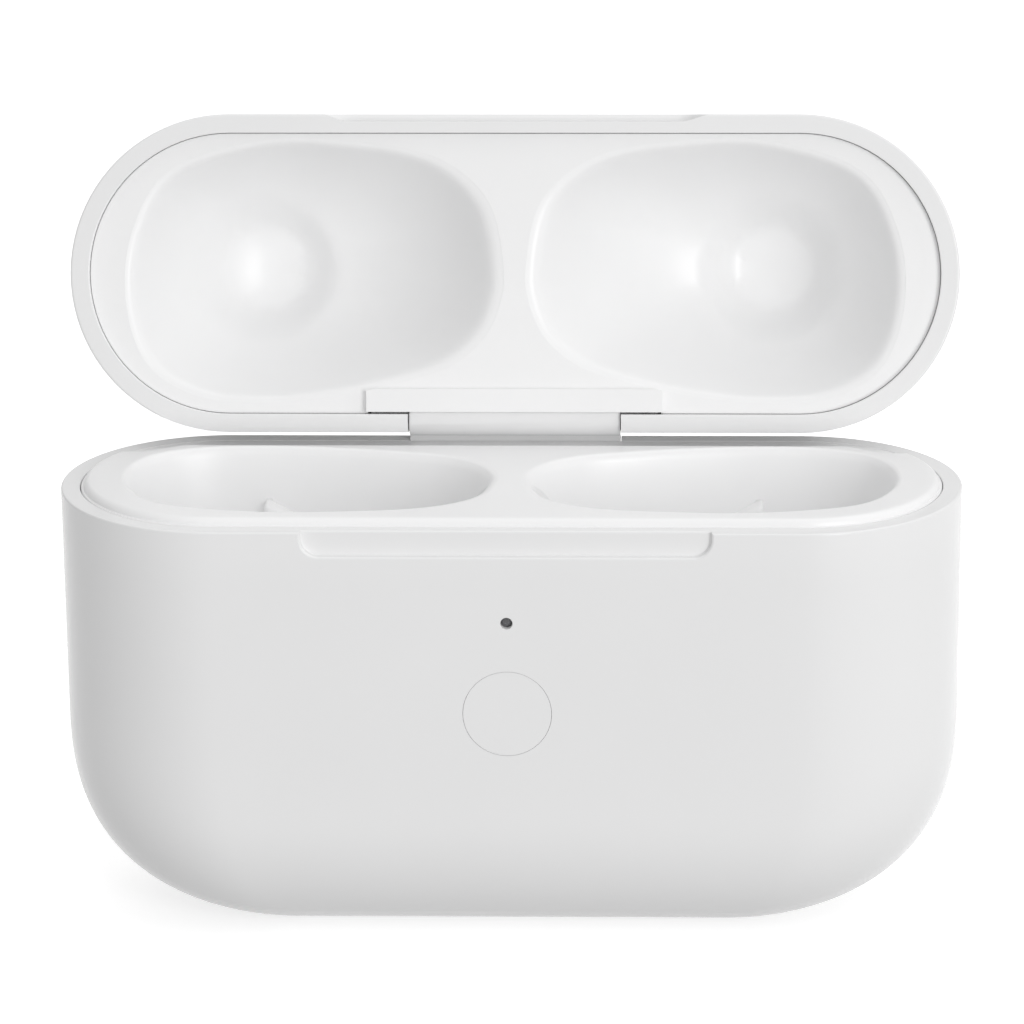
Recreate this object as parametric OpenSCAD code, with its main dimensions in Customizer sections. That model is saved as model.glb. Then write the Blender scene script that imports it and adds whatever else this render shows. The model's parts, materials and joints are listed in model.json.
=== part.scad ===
// Pocket charging case for a pair of wireless earbuds, drawn with its lid standing open.
// Origin: centre of the resting face. +Z up, front towards -Y. Millimetres.

/* [Case] */
// Width of the closed case at the seam
case_w = 60.6; // [52:0.1:73]
// Depth of the closed case, front to back
case_d = 21.7; // [21:0.1:26.5]
// Height of the body, from the resting face to the seam
body_h = 29.6; // [28.5:0.1:36]
// Height of the lid above the seam
lid_h = 15.6; // [14.5:0.1:19]
// Wall thickness of both shells
wall = 1.28; // [1.05:0.01:1.6]
// Gap between the body's rim and the lid's rim
seam = 0.1; // [0.08:0.01:0.2]
// Taper of both shells, per millimetre away from the seam
draft = 0.01; // [0:0.002:0.016]

/* [Shell corners] */
// Inset of the rounded bottom corner along the width
corner_x = 16; // [13:0.5:18]
// Height of the rounded corner seen from the front
corner_x_h = 14; // [11:0.5:14.2]
// Inset of the rounded bottom corner along the depth
corner_y = 8; // [7:0.1:8.2]
// Height of the rounded corner seen from the side
corner_y_h = 9; // [7.5:0.1:10]
// Fullness of the corner seen from the front: 2 is an ellipse
full_x = 2.5; // [2:0.05:3]
// Fullness of the corner seen from the side
full_y = 2.15; // [2:0.05:2.6]

/* [Front] */
// Width of the finger notch at the rim
notch_w = 27.1; // [20:0.1:30]
// Height of the finger notch
notch_h = 1.7; // [1:0.1:2]
// Depth of the finger notch into the wall
notch_d = 0.5; // [0.3:0.05:0.7]
// Height of the matching notch in the lid's rim
lid_notch_h = 0.9; // [0.5:0.1:1.4]
// Diameter of the status light's hole
led_d = 0.8; // [0.6:0.05:1.2]
// Distance of the status light below the seam
led_drop = 6.3; // [5.5:0.1:7]
// Diameter of the pairing button
button_d = 5.86; // [4.8:0.02:7.1]
// Distance of the button's centre below the seam
button_drop = 12.65; // [12.3:0.05:13]
// Gap around the button
button_gap = 0.05; // [0.03:0.01:0.15]
// Travel of the button
button_travel = 0.25; // [0.15:0.05:0.3]

/* [Tray] */
// Thickness of the tray's deck
deck_t = 1.6; // [1.2:0.1:2]
// Height of the raised plateau above the rim
plateau_h = 0.5; // [0.3:0.05:0.55]
// Gap between the tray and the shell
tray_gap = 0.05; // [0.03:0.01:0.1]
// Step in from the tray's edge to the plateau
plateau_step = 0.2; // [0.15:0.05:0.5]
// Wall of the pockets and of the stem bores
pocket_wall = 0.8; // [0.6:0.05:1]
// Depth of the pockets below the plateau
pocket_depth = 10; // [8:0.5:12]
// Deck left between a pocket and the side of the shell
pocket_side = 3; // [2.5:0.1:4]
// Deck left between a pocket and the front of the shell
pocket_front = 1.65; // [1.2:0.05:2.5]
// Deck left between a pocket and the rear of the shell
pocket_rear = 2.95; // [2.8:0.05:3.5]
// Distance of the rest rib in a pocket from the centre plane
rest_x = 17; // [14:0.1:18]
// Width of the rest rib
rest_w = 4.4; // [3:0.1:5]
// Depth of the rest rib's tip below the plateau
rest_drop = 3.4; // [2.6:0.1:4.5]
// How far the rest rib stands out of the pocket's rear wall
rest_out = 2; // [1:0.1:2.2]
// Half of the web between the two pockets
pocket_web = 1; // [0.8:0.1:1.5]
// Radius of a stem bore
stem_r = 3.3; // [2.8:0.1:3.5]
// Distance of a stem bore from the centre plane
stem_x = 4.75; // [4.7:0.05:5.2]
// Distance of a stem bore in front of the middle
stem_y = 0.8; // [0:0.1:1.2]
// Floor of a stem bore above the resting face
stem_floor = 10.6; // [10.6:0.1:12]

/* [Lid] */
// Distance of the liner behind the lid's rim plane
liner_recess = 0.6; // [0.6:0.05:1]
// Thickness of the liner
liner_t = 1; // [0.8:0.1:1.2]
// Wall of the lid's pockets
lid_pocket_wall = 0.45; // [0.35:0.05:0.45]
// Depth of the lid's pockets behind the liner
lid_pocket_depth = 9.5; // [8:0.5:10]
// Liner left between a lid pocket and the front of the lid
lid_pocket_front = 0.55; // [0.5:0.05:1]
// Liner left between a lid pocket and the rear of the lid
lid_pocket_rear = 1; // [0.9:0.05:1.5]
// Distance of the round hollow in a lid pocket from the centre plane
hollow_x = 17.6; // [16:0.1:18.5]
// Radius of the round hollow
hollow_r = 5.2; // [5:0.1:6]
// Depth of the round hollow below the pocket's floor
hollow_depth = 2.4; // [1:0.1:2.6]

/* [Hinge] */
// Angle of the lid as drawn, 0 is closed
open_angle = 105; // [95:1:108]
// Height of the hinge axis above the seam
axis_up = 2.2; // [2.15:0.05:2.6]
// Distance of the hinge axis in front of the rear face
axis_in = 1.45; // [1.4:0.05:1.6]
// Width of the barrel that stands on the body
barrel_w = 14.4; // [11:0.1:16]
// Radius of the barrel
barrel_r = 1.7; // [1.55:0.05:1.75]
// Radius of the lid's lugs
lug_r = 0.95; // [0.85:0.05:0.98]
// Radius of the pin
pin_r = 0.5; // [0.4:0.05:0.55]
// Radial clearance of the pin in the barrel
pin_clear = 0.03; // [0.02:0.01:0.06]
// Wire radius of the hinge spring
spring_wire = 0.14; // [0.1:0.01:0.16]

/* [Power and electronics] */
// Width of one battery cell
cell_w = 11.2; // [9:0.1:11.6]
// Depth of one battery cell
cell_d = 13.2; // [10:0.1:13.6]
// Room left between a battery cell and the magnet above it
cell_gap = 0.8; // [0.5:0.1:3]
// Thickness of the foam pad in front of a cell
foam_t = 0.8; // [0.5:0.1:1.2]
// Thickness of the steel stiffener behind the front wall
stiffener_t = 1; // [0.6:0.1:1.1]
// Thickness of the main board
board_t = 0.8; // [0.6:0.1:1]
// Width of the main board
board_w = 17.2; // [15:0.1:17.6]
// Width of the charging socket's shell
socket_w = 8.94; // [8:0.02:10.8]
// Thickness of the charging socket's shell, seen from below
socket_d = 3.26; // [2.8:0.02:3.6]
// Outer radius of the charging coil
coil_r = 7.5; // [6:0.1:8]
// Travel of a contact pin
contact_travel = 0.5; // [0.3:0.05:0.5]

/* [Hidden] */
$fn = 48;

arc_steps = 20;      // facets round each half of a shell's outline
corner_rings = 11;   // rings up a rounded corner
half_w = case_w / 2;
half_d = case_d / 2;
axis_y = half_d - axis_in;
axis_z = body_h + axis_up;
lid_rim = body_h + seam;
liner_z = lid_rim + liner_recess;
sweep_r = axis_up - seam;              // largest radius that turns clear of the body's rim
barrel_room = barrel_r + 0.12;         // clear radius round the barrel and the lugs
ledge_half = barrel_w / 2 + 2.9;       // half width of the liner's ledge and of the arm's housing
side_gap = 0.15;                       // gap at each end of the barrel
lug_end = barrel_w / 2 + 2.6;
inner_y = half_d - wall;               // inside face of both shells at the rim
relief_y = axis_y - 2.2;               // rear edge of the plateau at the middle
relief_side_y = axis_y - 3.6;          // rear edge of the plateau at the sides
relief_x = half_w - 7.5;               // where the plateau's rear edge steps forward
button_z = body_h - button_drop;
led_z = body_h - led_drop;
deck_z = body_h - deck_t;
pocket_top = body_h + plateau_h;
board_y = -(inner_y - 2.67);           // front face of the main board
board_back = board_y + board_t;
board_low = 6.5;
board_high = stem_floor + 9.7;
board_fix_z = [stem_floor + 1.4, stem_floor + 7.6];
contact_z = stem_floor - 2.25;         // top of the contact board, foot of the barrels
contact_board_t = 0.4;
contact_rest = 1.25 + contact_travel;   // underside of a contact pin's flange above its barrel's foot
contact_x = [-stem_x - 1.1, -stem_x + 1.1, stem_x - 1.1, stem_x + 1.1];
bud_magnet_t = 1.2;
bud_magnet_z = pocket_top - pocket_depth - pocket_wall - 0.3 - bud_magnet_t;
cell_x = stem_x + stem_r + pocket_wall + 0.55;
cell_z = 4.6;
cell_h = bud_magnet_z - cell_gap - cell_z;
stiffener_y = -(inner_y - 0.4);         // front face of the stiffener
stiffener_back = stiffener_y + stiffener_t;
cell_y = stiffener_back + 0.05 + foam_t;  // front face of the cells
cradle_gap = 0.12;                     // gap from the cradles to the shell and to the cells
screw_r = 0.45;
screw_head_r = 0.9;
screw_head_t = 0.55;
screw_fit = 0.02;
body_screw_x = barrel_w / 2 + 0.9;
body_screw_z = body_h - 4.6;
lid_screw_x = barrel_w / 2 - 0.7;
lid_screw_z = axis_z + 4;
plate_t = 0.9;                         // thickness of the hinge's two plates
socket_low = 0.35;
magnet = [3.2, 1.5, 1.5];
magnet_x = 3.4;
spring_steps = 12;

lid_floor_z = liner_z + lid_pocket_depth;

// Outline of an earbud pocket from its inner end (0) to its outer end (1), front at -1, rear at 1
egg = [
    [0, 0], [0.028, -0.44], [0.1, -0.71], [0.21, -0.88], [0.38, -0.965], [0.62, -0.985], [0.88, -0.76],
    [0.985, -0.28], [1, 0.27], [0.94, 0.73], [0.8, 0.96], [0.62, 1], [0.45, 0.95], [0.28, 0.85],
    [0.14, 0.72], [0.05, 0.5], [0.01, 0.25]
];
egg_focus = [0.6, 0];
egg_steps = 3;

function corner(z, h, n) = z >= h ? 0 : 1 - pow(1 - pow(1 - max(z, 0) / h, n), 1 / n);
function shell_w(z, off, height) =
    half_w - off - (corner_x - off) * corner(z - off, corner_x_h - off, full_x) - draft * (height - z);
function shell_d(z, off, height) =
    half_d - off - (corner_y - off) * corner(z - off, corner_y_h - off, full_y) - draft * (height - z);
function stadium_ring(a, b, z) = [
    for (side = [0, 1], i = [0 : arc_steps])
        let (t = -90 + 180 * (side + i / arc_steps), s = side == 0 ? a - b : b - a)
            [s + b * cos(t), b * sin(t), z]
];
function cup_levels(off, height) = concat(
    [for (k = [0 : corner_rings]) off + (corner_x_h - off) * pow(k / corner_rings, 2)], [height]
);
function cup_rings(off, height) = [
    for (z = cup_levels(off, height)) stadium_ring(shell_w(z, off, height), shell_d(z, off, height), z)
];
function reversed(list) = [for (i = [len(list) - 1 : -1 : 0]) list[i]];
function blend_point(a, b, c, d, t) =
    0.5 * (2 * b + (c - a) * t + (2 * a - 5 * b + 4 * c - d) * t * t + (3 * b - a - 3 * c + d) * t * t * t);
function smooth_loop(p, steps) = [
    for (i = [0 : len(p) - 1], k = [0 : steps - 1])
        let (n = len(p))
            blend_point(p[(i + n - 1) % n], p[i], p[(i + 1) % n], p[(i + 2) % n], k / steps)
];
egg_line = smooth_loop(egg, egg_steps);

// One ring of a pocket: the egg between x0 and x1 and between y0 and y1, shrunk about its focus
function egg_ring(x0, x1, y0, y1, shrink, z) = [
    for (p = egg_line)
        let (q = egg_focus + shrink * (p - egg_focus))
            [x0 + (x1 - x0) * q[0], (y0 + y1) / 2 + (y1 - y0) / 2 * q[1], z]
];
function helix_ring(r, wire, pitch, k) =
    let (a = 360 * k / spring_steps)
        [for (i = [0 : 5]) let (b = 60 * i) [(r + wire * cos(b)) * cos(a), (r + wire * cos(b)) * sin(a),
            pitch * k / spring_steps + wire * sin(b)]];

module loft(rings) {
    n = len(rings[0]);
    m = len(rings);
    points = [for (r = rings, p = r) p];
    sides = [for (k = [0 : m - 2], i = [0 : n - 1])
        [k * n + i, (k + 1) * n + i, (k + 1) * n + (i + 1) % n, k * n + (i + 1) % n]];
    low = [for (i = [0 : n - 1]) i];
    high = [for (i = [n - 1 : -1 : 0]) (m - 1) * n + i];
    polyhedron(points, concat([low], sides, [high]), convexity = 6);
}

// A shell with its closed end at z = 0 and its rim at z = height
module shell_cup(height) {
    loft(concat(cup_rings(0, height), reversed(cup_rings(wall, height))));
}

module stadium(a, b) {
    square([2 * (a - b), 2 * b], center = true);
    for (s = [-1, 1]) translate([s * (a - b), 0]) circle(b);
}

// A bowl that opens at z = 0 and goes down, drawn for the right-hand side
module pocket_bowl(x0, x1, y0, y1, depth, grow) {
    bottom = 0.42;
    rings = [
        for (a = [90 : -15 : 0])
            egg_ring(x0 - grow, x1 + grow, y0 - grow, y1 + grow,
                bottom + (1 - bottom) * cos(a), -(depth + grow) * sin(a))
    ];
    lip = egg_ring(x0 - grow, x1 + grow, y0 - grow, y1 + grow, 1, grow > 0 ? 0 : 1);
    loft(grow > 0 ? rings : concat(rings, [lip]));
}

module both_sides() {
    children();
    mirror([1, 0, 0]) children();
}

// Turns what is drawn in the closed place to the open place
module opened() {
    translate([0, axis_y, axis_z]) rotate([-open_angle, 0, 0]) translate([0, -axis_y, -axis_z]) children();
}

module along_x(r, x0, x1) {
    translate([x0, 0, 0]) rotate([0, 90, 0]) cylinder(r = r, h = x1 - x0);
}

module along_y(r, y0, y1) {
    translate([0, y1, 0]) rotate([90, 0, 0]) cylinder(r = r, h = y1 - y0);
}

module block(x0, x1, y0, y1, z0, z1) {
    translate([x0, y0, z0]) cube([x1 - x0, y1 - y0, z1 - z0]);
}

// Cutter for a finger notch: straight along the front, with round lower corners
module notch_cutter(w, h) {
    r = min(1.2, h);
    translate([0, -half_d + notch_d, 0]) rotate([90, 0, 0]) linear_extrude(wall + notch_d) {
        translate([-w / 2 + r, -h]) square([w - 2 * r, h + 1]);
        translate([-w / 2, -h + r]) square([w, h + 1 - r]);
        for (s = [-1, 1]) translate([s * (w / 2 - r), r - h]) circle(r);
    }
}

module screw_y(length) {
    along_y(screw_r, 0, length);
    along_y(screw_head_r, -screw_head_t, 0);
}

// Coil that stands on z = 0
module coil_spring(turns, r, wire, length) {
    pitch = (length - 2 * wire) / turns;
    translate([0, 0, wire])
        loft([for (k = [0 : turns * spring_steps]) helix_ring(r, wire, pitch, k)]);
}

module body_shell() {
    color("white") difference() {
        shell_cup(body_h);
        translate([0, 0, body_h]) notch_cutter(notch_w, notch_h);
        translate([0, 0, led_z]) along_y(led_d / 2, -half_d - 1, -inner_y + 1);
        translate([0, 0, button_z]) along_y(button_d / 2 + button_gap, -half_d - 1, -inner_y + 1);
        translate([0, 0, -1]) linear_extrude(wall + 2) stadium(socket_w / 2 + 0.18, socket_d / 2 + 0.18);
        block(-barrel_w / 2 - tray_gap, barrel_w / 2 + tray_gap, inner_y - 1, half_d + 1,
            body_h - 3.1, body_h + 1);
        for (s = [-1, 1]) translate([s * body_screw_x, 0, body_screw_z])
            along_y(screw_r + screw_fit, inner_y - 1, half_d - 0.5);
    }
}

module plateau_relief() {
    linear_extrude(deck_t + plateau_h) polygon([
        [-half_w, -half_d], [half_w, -half_d], [half_w, relief_side_y],
        [relief_x + 2, relief_side_y], [relief_x, relief_y], [-relief_x, relief_y],
        [-relief_x - 2, relief_side_y], [-half_w, relief_side_y]
    ]);
}

module tray_pocket(grow) {
    translate([0, 0, pocket_top])
        pocket_bowl(pocket_web, half_w - wall - pocket_side,
            pocket_front - inner_y, inner_y - pocket_rear, pocket_depth, grow);
}

// Rib on a pocket's rear wall that stops the earbud: upright outside, sloping down towards the middle
module rest_rib() {
    rear_y = inner_y - pocket_rear;
    translate([0, rear_y + pocket_wall / 2, pocket_top - rest_drop]) rotate([90, 0, 0])
        linear_extrude(rest_out + pocket_wall) polygon([
            [rest_x, 0], [rest_x, -rest_w], [rest_x - rest_w, -rest_w], [rest_x - rest_w, -rest_w / 2]
        ]);
}

module body_tray() {
    deck_a = shell_w(deck_z, wall, body_h) - tray_gap;
    deck_b = shell_d(deck_z, wall, body_h) - tray_gap;
    color("white") difference() {
        union() {
            translate([0, 0, deck_z]) linear_extrude(deck_t) stadium(deck_a, deck_b);
            translate([0, 0, deck_z]) intersection() {
                linear_extrude(deck_t + plateau_h) stadium(deck_a - plateau_step, deck_b - plateau_step);
                plateau_relief();
            }
            both_sides() {
                translate([0, 0, -plateau_h / 2]) tray_pocket(pocket_wall);
                translate([stem_x, -stem_y, stem_floor - pocket_wall])
                    cylinder(r = stem_r + pocket_wall, h = body_h - stem_floor);
                for (z = board_fix_z) translate([stem_x, 0, z])
                    along_y(1.2, board_back, -stem_y - stem_r - pocket_wall / 2);
            }
        }
        both_sides() {
            difference() {
                tray_pocket(0);
                rest_rib();
            }
            translate([stem_x, -stem_y, stem_floor]) cylinder(r = stem_r, h = body_h);
            for (z = board_fix_z) translate([stem_x, 0, z])
                along_y(screw_r + screw_fit, board_back - 1, -stem_y - stem_r - pocket_wall / 4);
        }
        for (x = contact_x) translate([x, -stem_y, stem_floor - pocket_wall - 1]) cylinder(r = 0.78, h = 3);
    }
}

module main_board() {
    color("darkgreen") difference() {
        union() {
            block(-board_w / 2, board_w / 2, board_y, board_back, board_low, board_high);
            block(-1.6, 1.6, board_y, board_back, board_high - 1, led_z + 2.3);
        }
        for (s = [-1, 1], z = board_fix_z) translate([s * stem_x, 0, z])
            along_y(screw_r + 0.1, board_y - 1, board_back + 1);
    }
}

module board_screws() {
    color("silver") for (s = [-1, 1], z = board_fix_z)
        translate([s * stem_x, board_y, z]) screw_y(board_t + 1.2);
}

module contact_board() {
    color("darkgreen") block(-stem_x - 3.4, stem_x + 3.4, -stem_y - 3.2, -stem_y + 3.2,
        contact_z - contact_board_t, contact_z);
}

module board_flex() {
    color("darkorange") block(-3, 3, board_back, -stem_y - 3.2, contact_z - 0.3, contact_z - 0.15);
}

// A cell with its round upright edges, grown sideways and downwards by the given gap
module battery_cell(grow) {
    round_r = 1.5;
    translate([cell_x + cell_w / 2, cell_y + cell_d / 2, cell_z - grow]) linear_extrude(cell_h + 2 * grow) {
        square([cell_w - 2 * round_r, cell_d + 2 * grow], center = true);
        square([cell_w + 2 * grow, cell_d - 2 * round_r], center = true);
        for (x = [-1, 1], y = [-1, 1])
            translate([x * (cell_w / 2 - round_r), y * (cell_d / 2 - round_r)]) circle(round_r + grow);
    }
}

module battery_right() {
    color("dimgray") battery_cell(0);
}

module battery_left() {
    color("dimgray") mirror([1, 0, 0]) battery_cell(0);
}

module foam_pad() {
    block(cell_x + 2, cell_x + cell_w - 2, cell_y - foam_t, cell_y, cell_z + 2, cell_z + cell_h - 2);
}

module battery_foam_right() {
    color("black") foam_pad();
}

module battery_foam_left() {
    color("black") mirror([1, 0, 0]) foam_pad();
}

module battery_flex() {
    flex_z = cell_z + cell_h - 1.6;
    color("darkorange") both_sides()
        block(stem_x + 1.8, cell_x, board_back, board_back + 0.15, flex_z - 2, flex_z);
}

// Moulded cradle that carries a cell in the rounded end of the shell, open towards the middle
module cradle() {
    off = wall + cradle_gap;
    difference() {
        intersection() {
            loft(cup_rings(off, body_h));
            block(cell_x, half_w, stiffener_back + cradle_gap, half_d, 0, cell_z + cell_h);
        }
        battery_cell(cradle_gap);
        block(cell_x - 1, cell_x + cell_w - 1.5, stiffener_y, cell_y + 2, cell_z + 1, body_h);
    }
}

module cell_cradle_right() {
    color("whitesmoke") cradle();
}

module cell_cradle_left() {
    color("whitesmoke") mirror([1, 0, 0]) cradle();
}

// Steel plate that stiffens the flat front wall, with holes round the button and the light pipe
module front_stiffener() {
    half = half_w - half_d - 0.5;
    color("silver") difference() {
        block(-half, half, stiffener_y, stiffener_back, corner_y_h, deck_z - 4);
        translate([0, 0, button_z]) along_y(button_d / 2 + 1.15, stiffener_y - 1, stiffener_back + 1);
        translate([0, 0, led_z]) along_y(led_d / 2 + 0.8, stiffener_y - 1, stiffener_back + 1);
    }
}

module charge_socket() {
    color("silver") difference() {
        translate([0, 0, socket_low]) linear_extrude(contact_z - contact_board_t - 0.1 - socket_low)
            stadium(socket_w / 2, socket_d / 2);
        translate([0, 0, socket_low - 1]) linear_extrude(contact_z - contact_board_t - 0.5 - socket_low + 1)
            stadium(socket_w / 2 - 0.3, socket_d / 2 - 0.3);
    }
}

module socket_tongue() {
    top = contact_z - contact_board_t - 0.5;
    color("dimgray") union() {
        block(-socket_w / 2 + 1.15, socket_w / 2 - 1.15, -0.35, 0.35, socket_low + 1, top);
        translate([0, 0, top - 1]) linear_extrude(1) stadium(socket_w / 2 - 0.32, socket_d / 2 - 0.32);
    }
}

module socket_seal() {
    color("black") translate([0, 0, wall + 0.02]) linear_extrude(0.8) difference() {
        stadium(socket_w / 2 + 1, socket_d / 2 + 1);
        stadium(socket_w / 2 + 0.02, socket_d / 2 + 0.02);
    }
}

module charge_coil() {
    color("chocolate") translate([0, inner_y - 0.9, coil_r + 6.6]) rotate([90, 0, 0])
        rotate_extrude() translate([coil_r / 2, 0]) square([coil_r / 2, 0.6]);
}

module coil_ferrite() {
    color("dimgray") translate([0, 0, coil_r + 6.6]) along_y(coil_r + 0.4, inner_y - 1.9, inner_y - 1.55);
}

module contact_barrel(i) {
    color("goldenrod") translate([contact_x[i], -stem_y, contact_z]) difference() {
        cylinder(r = 0.75, h = contact_rest + 0.8);
        translate([0, 0, 0.25]) cylinder(r = 0.6, h = contact_rest + 0.15);
        translate([0, 0, 1]) cylinder(r = 0.45, h = contact_rest);
    }
}

module contact_spring(i) {
    color("silver") translate([contact_x[i], -stem_y, contact_z + 0.3]) coil_spring(5, 0.4, 0.08, contact_rest - 0.35);
}

module contact_pin(i) {
    color("gold") translate([contact_x[i], -stem_y, contact_z]) {
        translate([0, 0, contact_rest]) cylinder(r = 0.55, h = 0.35);
        translate([0, 0, contact_rest + 0.25]) cylinder(r = 0.42, h = 0.75 + contact_travel);
    }
}

module contact_barrel_1() { contact_barrel(0); }
module contact_barrel_2() { contact_barrel(1); }
module contact_barrel_3() { contact_barrel(2); }
module contact_barrel_4() { contact_barrel(3); }
module contact_spring_1() { contact_spring(0); }
module contact_spring_2() { contact_spring(1); }
module contact_spring_3() { contact_spring(2); }
module contact_spring_4() { contact_spring(3); }
module contact_pin_1() { contact_pin(0); }
module contact_pin_2() { contact_pin(1); }
module contact_pin_3() { contact_pin(2); }
module contact_pin_4() { contact_pin(3); }

module led_chip() {
    color("ivory") block(-0.5, 0.5, board_y - 0.5, board_y, led_z - 0.4, led_z + 0.4);
}

module light_pipe() {
    color("whitesmoke") translate([0, 0, led_z]) {
        along_y(led_d / 2 - 0.03, -half_d + 0.4, -inner_y + 0.3);
        along_y(led_d / 2 + 0.4, -inner_y + 0.2, board_y - 0.55);
    }
}

module button_cap() {
    face_y = -half_d + draft * button_drop + 0.02;
    flange_y = -inner_y + draft * button_drop + 0.15;
    color("white") translate([0, 0, button_z]) {
        along_y(button_d / 2, face_y, flange_y + 0.4);
        along_y(button_d / 2 + 0.65, flange_y, flange_y + 0.4);
        along_y(0.8, flange_y + 0.3, board_y - 1.3);
    }
}

module switch_body() {
    color("dimgray") difference() {
        block(-1.6, 1.6, board_y - 0.95, board_y, button_z - 1.6, button_z + 1.6);
        translate([0, 0, button_z]) along_y(0.65, board_y - 2, board_y - 0.55 + button_travel);
    }
}

module switch_plunger() {
    color("black") translate([0, 0, button_z]) along_y(0.6, board_y - 1.3, board_y - 0.65);
}

module hall_sensor() {
    color("black") block(-0.8, 0.8, board_back, board_back + 0.55, led_z + 0.8, led_z + 2);
}

module magnet_block(z) {
    translate([magnet_x - magnet[0] / 2, -inner_y + 0.3, z]) cube(magnet);
}

module latch_magnet_right() {
    color("silver") magnet_block(deck_z - 0.05 - magnet[2]);
}

module latch_magnet_left() {
    color("silver") mirror([1, 0, 0]) magnet_block(deck_z - 0.05 - magnet[2]);
}

module bud_magnet() {
    x = (half_w - wall - pocket_side) * egg_focus[0] + pocket_web * (1 - egg_focus[0]);
    translate([x, (pocket_front - pocket_rear) / 2, bud_magnet_z]) cylinder(r = 2.4, h = bud_magnet_t);
}

module bud_magnet_right() {
    color("silver") bud_magnet();
}

module bud_magnet_left() {
    color("silver") mirror([1, 0, 0]) bud_magnet();
}

module hinge_barrel() {
    half = barrel_w / 2;
    bush = 2.2;
    color("white") difference() {
        union() {
            intersection() {
                translate([0, axis_y, axis_z]) along_x(barrel_r, -half, half);
                block(-half, half, axis_y - 3, half_d - 0.05, body_h, axis_z + 3);
            }
            block(-half, half, inner_y - 0.02, half_d - 0.05, body_h - 3.05, axis_z - 1);
            block(-half, half, inner_y - 0.1 - plate_t, half_d - 0.3, body_h - 3.05, deck_z - 0.1);
            block(-lug_end, lug_end, inner_y - 0.1 - plate_t, inner_y - 0.1, body_h - 6.1, deck_z - 0.1);
        }
        translate([0, axis_y, axis_z]) {
            along_x(pin_r + pin_clear, -half - 1, half + 1);
            along_x(pin_r + spring_wire * 2 + 0.36, bush - half, half - bush);
        }
        for (s = [-1, 1]) translate([s * body_screw_x, 0, body_screw_z])
            along_y(screw_r + 0.1, inner_y - 3, half_d);
    }
}

module hinge_body_screws() {
    color("silver") for (s = [-1, 1])
        translate([s * body_screw_x, inner_y - 0.1 - plate_t, body_screw_z]) screw_y(plate_t + 0.8);
}

module hinge_spring() {
    length = barrel_w - 5;
    color("silver") translate([-length / 2, axis_y, axis_z]) rotate([0, 90, 0])
        coil_spring(9, pin_r + spring_wire + 0.18, spring_wire, length);
}

module hinge_pin() {
    color("silver") translate([0, axis_y, axis_z]) along_x(pin_r, -lug_end + 0.1, lug_end - 0.1);
}

module hinge_arm() {
    inside = barrel_w / 2 + side_gap;
    back = inner_y - 0.27;
    color("silver") opened() difference() {
        union() {
            both_sides() {
                translate([0, axis_y, axis_z]) along_x(lug_r, inside, lug_end);
                block(inside, lug_end, back - plate_t, back, axis_z, axis_z + 2.5);
            }
            block(-lug_end, lug_end, back - plate_t, back, axis_z + 2.1, axis_z + 5.4);
        }
        translate([0, axis_y, axis_z]) along_x(pin_r + 0.01, -lug_end - 1, lug_end + 1);
        for (s = [-1, 1]) translate([s * lid_screw_x, 0, lid_screw_z])
            along_y(screw_r + 0.1, inner_y - 3, half_d);
    }
}

module hinge_lid_screws() {
    color("silver") opened() for (s = [-1, 1])
        translate([s * lid_screw_x, inner_y - 0.27 - plate_t, lid_screw_z]) screw_y(plate_t + 0.9);
}

module lid_shell() {
    lid_top = body_h + lid_h;
    color("white") opened() difference() {
        translate([0, 0, lid_top]) mirror([0, 0, 1]) shell_cup(lid_h - seam);
        translate([0, 0, lid_rim]) mirror([0, 0, 1]) notch_cutter(notch_w - 1.5, lid_notch_h);
        block(-barrel_w / 2 - side_gap, barrel_w / 2 + side_gap, inner_y - 1.5, half_d + 1,
            lid_rim - 1, axis_z + 2);
        translate([0, axis_y, axis_z]) along_x(lug_r + 0.05, -lug_end - 0.1, lug_end + 0.1);
        for (s = [-1, 1]) translate([s * lid_screw_x, 0, lid_screw_z])
            along_y(screw_r + screw_fit, inner_y - 1, half_d - 0.5);
        difference() {
            block(-half_w, half_w, axis_y, half_d + 1, lid_rim - 1, axis_z);
            translate([0, axis_y, axis_z]) along_x(sweep_r, -half_w - 1, half_w + 1);
        }
    }
}

module lid_pocket(grow) {
    translate([0, 0, liner_z]) mirror([0, 0, 1])
        pocket_bowl(pocket_web + 0.2, half_w - wall - pocket_side + 0.2,
            lid_pocket_front - inner_y, inner_y - lid_pocket_rear, lid_pocket_depth, grow);
}

// Round hollow in the floor of a lid pocket, for the tip of an earbud
module lid_hollow(grow) {
    low = lid_floor_z - lid_pocket_depth / 3;
    intersection() {
        translate([hollow_x, (lid_pocket_front - lid_pocket_rear) / 2, lid_floor_z + hollow_depth - hollow_r])
            sphere(hollow_r + grow);
        block(0, half_w, -half_d, half_d, low, low + 2 * hollow_r);
    }
}

module lid_liner() {
    liner_a = shell_w(lid_h - seam - liner_recess - liner_t, wall, lid_h - seam) - tray_gap;
    liner_b = shell_d(lid_h - seam - liner_recess - liner_t, wall, lid_h - seam) - tray_gap;
    color("white") opened() difference() {
        union() {
            translate([0, 0, liner_z]) linear_extrude(liner_t) stadium(liner_a, liner_b);
            block(-ledge_half, ledge_half, inner_y - 1.72, inner_y - 0.15, lid_rim, liner_z + liner_t);
            both_sides() {
                translate([0, 0, liner_t / 2]) lid_pocket(lid_pocket_wall);
                lid_hollow(lid_pocket_wall);
            }
        }
        both_sides() {
            lid_pocket(0);
            lid_hollow(0);
        }
        translate([0, axis_y, axis_z]) along_x(barrel_room, -ledge_half + 0.1, ledge_half - 0.1);
        block(-lug_end - 0.1, lug_end + 0.1, inner_y - 1.3, half_d, axis_z - 0.2, axis_z + 6);
    }
}

module lid_magnet_right() {
    color("silver") opened() magnet_block(liner_z + liner_t + 0.05);
}

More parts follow.
